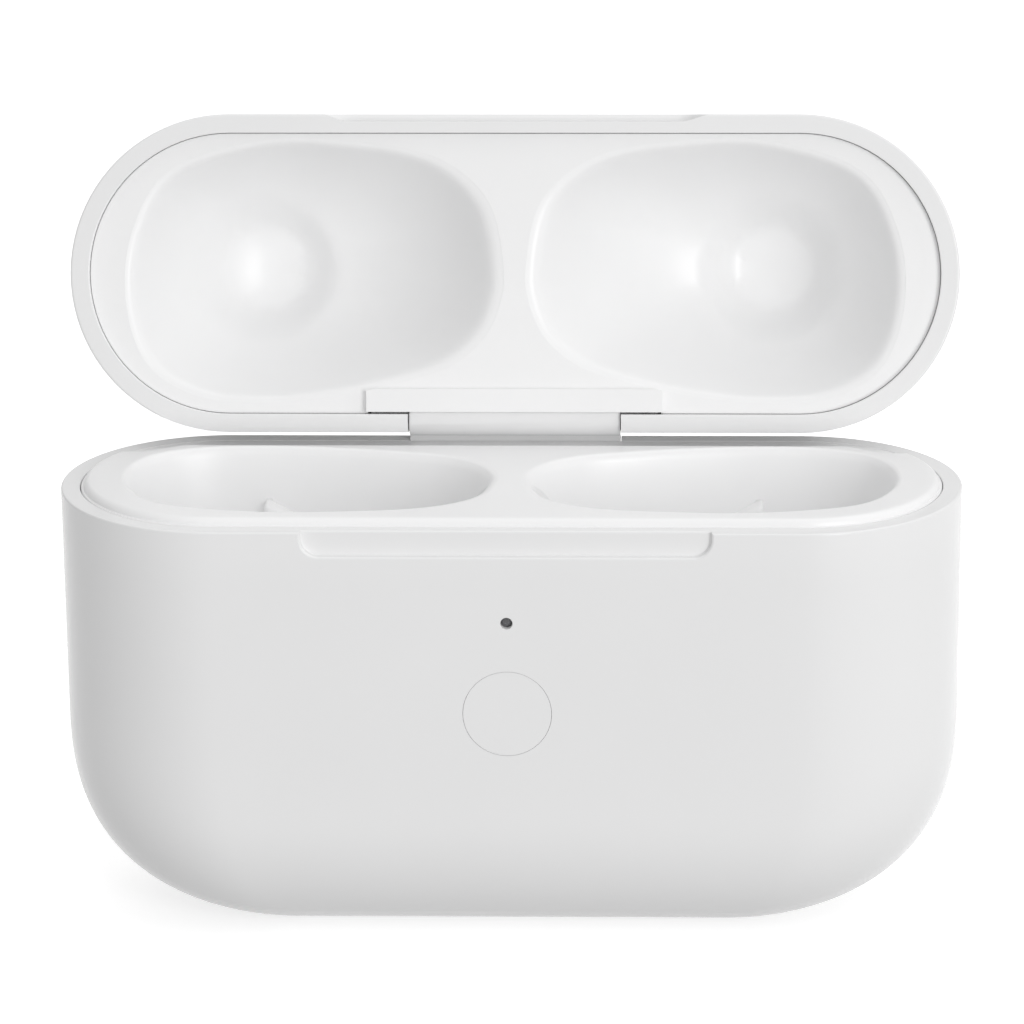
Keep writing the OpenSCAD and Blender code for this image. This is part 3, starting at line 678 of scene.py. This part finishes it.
def make_button():
    face = -HALF_D + DRAFT * (BODY_H - BUTTON_Z) + 0.02
    levels = [(BUTTON_HIGH[1], 0.8)]
    flange = -INNER_Y + DRAFT * (BODY_H - BUTTON_Z) + 0.15
    levels += [(flange + 0.4, 0.8), (flange + 0.4, BUTTON_R + 0.6), (flange + 0.35, BUTTON_R + 0.65),
               (flange + 0.05, BUTTON_R + 0.65), (flange, BUTTON_R + 0.6), (flange, BUTTON_R)]
    for inward, up in rounded(0.02, 4):
        levels.append((face + 0.02 - up, BUTTON_R - inward))
    levels.append((face, BUTTON_R - 0.1))
    rings = []
    for y, r in levels:
        rings.append([(r * math.cos(2 * math.pi * i / 96), y, BUTTON_Z + r * math.sin(2 * math.pi * i / 96))
                      for i in range(96)])
    return finish_piece(loft("pairing_button_cap", rings), "pairing_button", "shell_white", "button_cap")


def make_light_window():
    low, high = box_mm("light_pipe")
    tip, back = -HALF_D + 0.42, high[1]
    levels = [(back, 0.8), (-INNER_Y + 0.2, 0.8), (-INNER_Y + 0.2, LED_R - 0.03), (tip + 0.1, LED_R - 0.03)]
    for k in range(1, 6):
        a = math.pi / 2 * k / 6
        levels.append((tip + 0.1 * (1 - math.sin(a)), (LED_R - 0.03) * math.cos(a)))
    turns = [2 * math.pi * i / 40 for i in range(40)]
    rings = [[(r * math.cos(t), y, LED_Z + r * math.sin(t)) for t in turns] for y, r in levels]
    return finish_piece(loft("light_window", rings), "case_body", "light_guide", "light_pipe")


def rear_edge(x):
    """Rear edge of the plateau: straight behind the pockets, stepping forward near each end."""
    t = (abs(x) - 22.2) / 3.2
    t = max(0.0, min(1.0, t))
    return 7.2 - 1.5 * (3 * t * t - 2 * t ** 3)


TRAY_BOWL = (1.0, HALF_W - WALL - 3.0, 1.65 - INNER_Y, INNER_Y - 2.95, PLATEAU_Z)
LID_BOWL = (1.2, HALF_W - WALL - 2.8, 0.55 - INNER_Y, INNER_Y - 1.0, LINER_Z)
TRAY_DEPTH, LID_DEPTH = 10.0, 9.5


def rest_rib(side):
    """Rib on a pocket's rear wall: upright outside, sloping down towards the middle, with round edges."""
    top = PLATEAU_Z - REST_DROP
    corners = [(REST_X, top), (REST_X, top - REST_W), (REST_X - REST_W, top - REST_W),
               (REST_X - REST_W, top - REST_W / 2)]
    radius, outline = 0.5, []
    for k, here in enumerate(corners):
        p, a, b = Vector(here), Vector(corners[k - 1]), Vector(corners[(k + 1) % 4])
        start, end = p + (a - p).normalized() * radius, p + (b - p).normalized() * radius
        for t in (0, 0.25, 0.5, 0.75, 1):
            outline.append(start * (1 - t) ** 2 + p * (2 * t * (1 - t)) + end * t * t)
    middle = sum(outline, Vector((0, 0))) / len(outline)
    tip, soft = INNER_Y - 2.95 - REST_OUT - 0.4, 0.4
    levels = [(INNER_Y - 2.0, 0.0)] + [(tip + soft - up, inward) for inward, up in rounded(soft, 5)]
    rings = []
    for y, inward in levels:
        f = 1 - inward / (REST_W / 2)
        inset = [middle + (q - middle) * f for q in outline]
        rings.append([(side * q.x, y, q.y) for q in inset])
    return loft("rest_rib", rings, 40)


def make_tray():
    a, b = shell_w(DECK_Z, WALL, BODY_H) - TRAY_GAP, shell_d(DECK_Z, WALL, BODY_H) - TRAY_GAP
    rings = [stadium(a - 0.4, b - 0.4, DECK_Z), stadium(a, b, DECK_Z), stadium(a, b, BODY_H - 0.08),
             stadium(a - 0.03, b - 0.03, BODY_H - 0.02), stadium(a - 0.08, b - 0.08, BODY_H)]
    edge = PLATEAU_Z - BODY_H
    for inward, up in rounded(edge, 8):
        rings.append(stadium(a - 0.18 - inward * 0.9, b - 0.18 - inward * 0.9, BODY_H + up))
    rings.append(stadium(a - 1.2, b - 1.2, PLATEAU_Z))
    tray = loft("case_tray", rings, 50)
    steps = []
    for side in (1, -1):
        steps.append(("UNION", bowl_outside("tray_bowl", side, *TRAY_BOWL[:4], PLATEAU_Z - 0.25,
                                            TRAY_DEPTH, -1, 0.8)))
        tube = [(BODY_H - 0.8, 0), (STEM_FLOOR - 0.5, 0), (STEM_FLOOR - 0.8, -0.3)]
        steps.append(("UNION", plug("stem_tube", circle_outline(STEM_R + 0.8, 64), tube,
                                    lambda u, v, d, s=side: (s * STEM_X + u, STEM_Y + v, d))))
    profile = [(6, PLATEAU_Z + 1), (-0.45, PLATEAU_Z + 1)]
    for inward, up in reversed(rounded(0.45, 7)):
        profile.append((-inward, PLATEAU_Z - 0.45 + up))
    profile += [(0.0, BODY_H), (6, BODY_H)]
    steps.append(("DIFFERENCE", swept_x("rear_relief", profile, -HALF_W, HALF_W, 160, rear_edge)))
    for side in (1, -1):
        pocket = bowl("tray_pocket", side, *TRAY_BOWL, TRAY_DEPTH, -1, 5.0, 0.5)
        steps.append(("DIFFERENCE", carve(pocket, [("DIFFERENCE", rest_rib(side))])))
        bore = [(STEM_FLOOR, -0.3), (STEM_FLOOR + 0.3, 0), (BODY_H, 0)]
        steps.append(("DIFFERENCE", plug("stem_bore", circle_outline(STEM_R, 64), bore,
                                         lambda u, v, d, s=side: (s * STEM_X + u, STEM_Y + v, d))))
        for dx in (-1.1, 1.1):
            hole = [(STEM_FLOOR - 2, 0), (STEM_FLOOR + 1, 0)]
            steps.append(("DIFFERENCE", plug("contact_hole", circle_outline(0.78, 24), hole,
                                             lambda u, v, d, s=side, o=dx: (s * STEM_X + o + u, STEM_Y + v, d))))
    carve(tray, steps)
    return finish_piece(tray, "case_body", "inner_white", "body_tray")


def make_hinge_block():
    """Barrel between the lid's lugs, its foot in the shell's slot and the plate behind the rear wall."""
    half = BARREL_HALF
    radius, steps = 1.7, 44
    rear = HALF_D - 0.05
    profile = [(INNER_Y - 0.02, BODY_H - 3.05)]
    for k in range(steps + 1):
        a = math.radians(275 - 275 * k / steps)
        profile.append((min(AXIS_Y + radius * math.cos(a), rear), AXIS_Z + radius * math.sin(a)))
    profile.append((rear, BODY_H - 3.05))
    inset = 0.1
    rings = []
    for x, shrink in ((-half, 1), (-half + inset, 0), (half - inset, 0), (half, 1)):
        ring = []
        for y, z in profile:
            cy, cz = AXIS_Y - 0.2, AXIS_Z - 1.2
            f = 1 - 0.05 * shrink
            ring.append((x, cy + (y - cy) * f, cz + (z - cz) * f))
        rings.append(ring)
    block = loft("hinge_block", rings, 28)
    low, high = box_mm("hinge_barrel")
    plate = block_solid("hinge_plate", low[0], high[0], INNER_Y - 1.0, INNER_Y - 0.1,
                        BODY_H - 6.1, DECK_Z - 0.1)
    neck = block_solid("hinge_neck", -half, half, INNER_Y - 1.0, INNER_Y + 0.2, BODY_H - 3.0, DECK_Z - 0.12)
    bore = plug("pin_bore", circle_outline(0.53, 32), [(-half - 1, 0), (half + 1, 0)],
                lambda u, v, d: (d, AXIS_Y + u, AXIS_Z + v))
    steps = [("UNION", neck), ("UNION", plate), ("DIFFERENCE", bore)]
    carve(block, steps)
    return finish_piece(block, "case_body", "shell_white", "hinge_barrel")


# ---------------------------------------------------------------- the lid, made closed and then opened
def lid_notch():
    """The lid's half of the finger notch, running out to nothing at both ends."""
    rings = []
    for k in range(57):
        x = NOTCH_HALF * (k / 28 - 1)
        t = min(1.0, (NOTCH_HALF - abs(x)) / 2.2)
        t = t * t * (3 - 2 * t)
        y, z = -HALF_D - 0.03 + (NOTCH_D + 0.03) * t, LID_RIM + 0.25 + 0.65 * t
        rings.append([(x, -HALF_D - 1, LID_RIM - 1), (x, -HALF_D - 1, z + 0.05), (x, y - 0.2, z + 0.05),
                      (x, y - 0.06, z - 0.02), (x, y, z - 0.16), (x, y, LID_RIM - 1)])
    return loft("lid_notch", rings, 40)


def make_lid_shell():
    height = LID_H - SEAM
    lid = mirrored_up(cup_solid("case_lid", height), LID_TOP)
    steps = []
    steps.append(("DIFFERENCE", lid_notch()))
    half = BARREL_HALF + 0.07
    steps.append(("DIFFERENCE", block_solid("barrel_slot", -half, half, INNER_Y - 1.5, HALF_D + 1,
                                            LID_RIM - 1, AXIS_Z + 2)))
    steps.append(("DIFFERENCE", swept_x("lug_groove", [
        (AXIS_Y + 1.0 * math.cos(a), AXIS_Z + 1.0 * math.sin(a))
        for a in (2 * math.pi * k / 32 for k in range(32))], -BARREL_HALF - 2.7, BARREL_HALF + 2.7, 4)))
    sweep = AXIS_Z - LID_RIM
    profile = [(HALF_D + 1, LID_RIM - 1), (AXIS_Y, LID_RIM - 1), (AXIS_Y, LID_RIM)]
    for k in range(1, 13):
        a = math.pi / 2 * k / 12
        profile.append((AXIS_Y + sweep * math.sin(a), AXIS_Z - sweep * math.cos(a)))
    profile.append((HALF_D + 1, AXIS_Z))
    steps.append(("DIFFERENCE", swept_x("rear_round", profile, -HALF_W - 1, HALF_W + 1, 40)))
    carve(lid, steps)
    opened(lid)
    return finish_piece(lid, "lid", "shell_white", "lid_shell")


def make_lid_liner():
    height = LID_H - SEAM
    depth_at = height - 0.6 - LINER_T
    a, b = shell_w(depth_at, WALL, height) - 0.02, shell_d(depth_at, WALL, height) - 0.02
    rings = [stadium(a - 1.0, b - 1.0, LINER_Z)]
    for inward, up in reversed(rounded(0.05, 4)):
        rings.append(stadium(a - inward, b - inward, LINER_Z + 0.05 - up))
    rings += [stadium(a, b, LINER_Z + LINER_T), stadium(a - 0.6, b - 0.6, LINER_Z + LINER_T)]
    liner = loft("lid_liner_skin", rings, 50)
    steps = []
    ledge = BARREL_HALF + 2.9
    steps.append(("UNION", block_solid("ledge", -ledge, ledge, INNER_Y - 1.72, INNER_Y - 0.15,
                                       LID_RIM, LINER_Z + LINER_T)))
    for side in (1, -1):
        steps.append(("UNION", bowl_outside("lid_bowl", side, *LID_BOWL[:4], LINER_Z + 0.5,
                                            LID_DEPTH, 1, 0.45)))
        steps.append(("UNION", plug("hollow_back", circle_outline(HOLLOW_R + 0.3, 72),
                                    [(LINER_Z + 7.5, 0), (LINER_Z + 11.3, 0), (LINER_Z + 11.9, -0.6)],
                                    lambda u, v, d, s=side: (s * HOLLOW_X + u, HOLLOW_Y + v, d))))
    for side in (1, -1):
        steps.append(("DIFFERENCE", bowl("lid_pocket", side, *LID_BOWL, LID_DEPTH, 1, 2.6, 0.6, dent)))
    room = 1.82
    steps.append(("DIFFERENCE", swept_x("barrel_room", [
        (AXIS_Y + room * math.cos(t), AXIS_Z + room * math.sin(t))
        for t in (2 * math.pi * k / 48 for k in range(48))], -ledge + 0.1, ledge - 0.1, 4)))
    lug = BARREL_HALF + 2.7
    steps.append(("DIFFERENCE", block_solid("lug_room", -lug, lug, INNER_Y - 1.3, HALF_D,
                                            AXIS_Z - 0.2, AXIS_Z + 6)))
    carve(liner, steps)
    opened(liner)
    return finish_piece(liner, "lid", "inner_white", "lid_liner")


# ---------------------------------------------------------------- stage, light and camera
def make_floor():
    reach, below = 900, -0.02
    points = [(-reach, -reach, below), (reach, -reach, below), (reach, reach, below), (-reach, reach, below)]
    floor = new_mesh("floor", points, [(0, 1, 2, 3)])
    mat, nodes, links, bsdf = material("studio_floor")
    grain = noise(nodes, links, coords(nodes), 40, 3, 0.5)
    links.new(tint(nodes, links, grain, (0.93, 0.93, 0.93), (0.95, 0.95, 0.95)), bsdf.inputs["Base Color"])
    bsdf.inputs["Roughness"].default_value = 0.9
    bsdf.inputs["Emission Color"].default_value = (1, 1, 1, 1)
    bsdf.inputs["Emission Strength"].default_value = 0.45
    floor.data.materials.append(mat)
    floor.visible_diffuse = False


def make_world():
    """A white light tent: brightest overhead and on the right, dimmer on the left and below."""
    world = bpy.data.worlds.new("studio")
    bpy.context.scene.world = world
    world.use_nodes = True
    nodes, links = world.node_tree.nodes, world.node_tree.links
    back = nodes["Background"]
    split = nodes.new("ShaderNodeSeparateXYZ")
    links.new(nodes.new("ShaderNodeTexCoord").outputs["Generated"], split.inputs["Vector"])
    side = remap(nodes, links, split.outputs["X"], 0.52, 0.83, -0.95, 0.0)
    lift = remap(nodes, links, split.outputs["Z"], 0.50, 0.90, -0.8, 0.1)
    both = nodes.new("ShaderNodeMath")
    both.operation = "MULTIPLY"
    links.new(side, both.inputs[0])
    links.new(lift, both.inputs[1])
    links.new(both.outputs["Value"], back.inputs["Strength"])
    back.inputs["Color"].default_value = (1, 1, 1, 1)


def area(name, where, target, size, power):
    data = bpy.data.lights.new(name, "AREA")
    data.shape = "RECTANGLE"
    data.size, data.size_y = size
    data.energy = power
    lamp = bpy.data.objects.new(name, data)
    bpy.context.scene.collection.objects.link(lamp)
    lamp.location = where
    lamp.rotation_euler = (Vector(target) - Vector(where)).to_track_quat("-Z", "Y").to_euler()
    return lamp


def make_lights():
    middle = (0, 0, 0.028)
    area("key", (0.28, -0.54, 0.17), middle, (0.18, 0.30), 1.1)
    area("top", (0.10, 0.05, 0.60), middle, (0.50, 0.40), 0.5)


def make_camera():
    """The view of the photograph: a long lens, 18 degrees up and 2 degrees round to the right."""
    yaw, lift, roll = math.radians(2.07), math.radians(18.0), math.radians(-0.51)
    target = Vector((0, 0, (BODY_H - 2.04) * MM))
    back = Vector((math.sin(yaw) * math.cos(lift), -math.cos(yaw) * math.cos(lift), math.sin(lift)))
    cam = bpy.data.cameras.new("photo_view")
    cam.lens, cam.sensor_width = 240.2, 36.0
    cam.clip_start, cam.clip_end = 0.02, 20.0
    cam.shift_x = 0.0008
    obj = bpy.data.objects.new("photo_view", cam)
    bpy.context.scene.collection.objects.link(obj)
    right = Vector((0, 0, 1)).cross(back).normalized()
    up = back.cross(right)
    right2 = right * math.cos(roll) + up * math.sin(roll)
    up2 = up * math.cos(roll) - right * math.sin(roll)
    turn = Matrix((right2, up2, back)).transposed()
    obj.matrix_world = Matrix.Translation(target + back * 0.46) @ turn.to_4x4()
    bpy.context.scene.camera = obj


make_camera()
make_world()
make_lights()
make_floor()
paint_cad()
make_body_shell()
make_button()
make_light_window()
make_tray()
make_hinge_block()
make_lid_shell()
make_lid_liner()
bpy.context.scene.view_settings.view_transform = "Standard"
